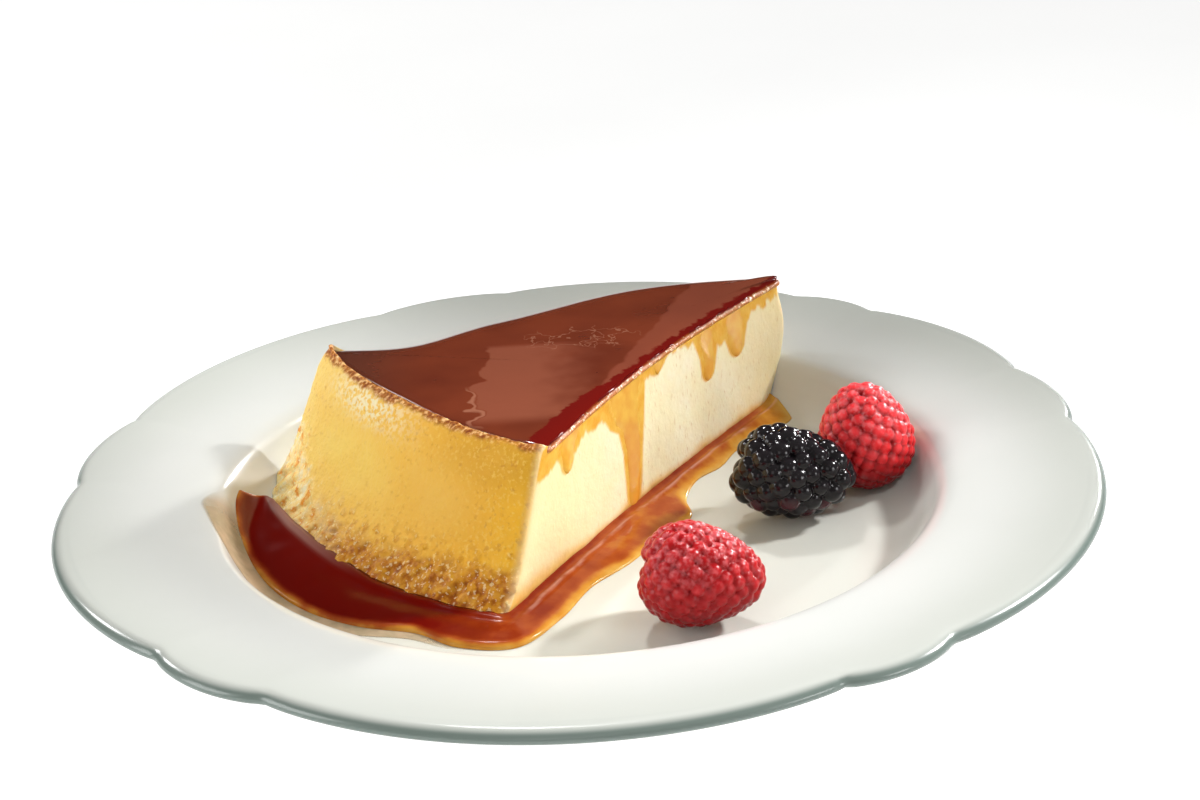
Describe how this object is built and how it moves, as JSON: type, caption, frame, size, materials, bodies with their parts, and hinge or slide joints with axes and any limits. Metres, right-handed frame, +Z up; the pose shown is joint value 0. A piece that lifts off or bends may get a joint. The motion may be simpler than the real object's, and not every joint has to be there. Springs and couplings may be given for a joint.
{
  "type": "creme caramel flan slice on a dessert plate",
  "caption": "Wedge of baked custard under a glossy caramel glaze with runs down its cut, in a pool of caramel on a lobed white plate with berries beside it.",
  "frame": {"origin": "centre of the plate's foot ring, on the table", "axes": "+Z up; the slice's outer side faces -X and its near cut faces the -Y and +X quarter"},
  "size_m": [0.2191, 0.2219, 0.0386],
  "materials": {
    "porcelain": "white glazed porcelain",
    "custard": "baked custard, pale and moist on the cut, golden and browned on the outer side",
    "caramel": "wet glossy caramel",
    "sauce": "thin clear caramel sauce, amber at its edge",
    "raspberry": "soft raspberry skin with a pale bloom",
    "bramble": "shiny purple-black drupelets"
  },
  "bodies": {
    "root": {"plate": "porcelain", "flan": "custard", "caramel_top": "caramel", "caramel_pool": "sauce", "raspberry_front": "raspberry", "raspberry_back": "raspberry", "bramble": "bramble"}
  },
  "joints": []
}
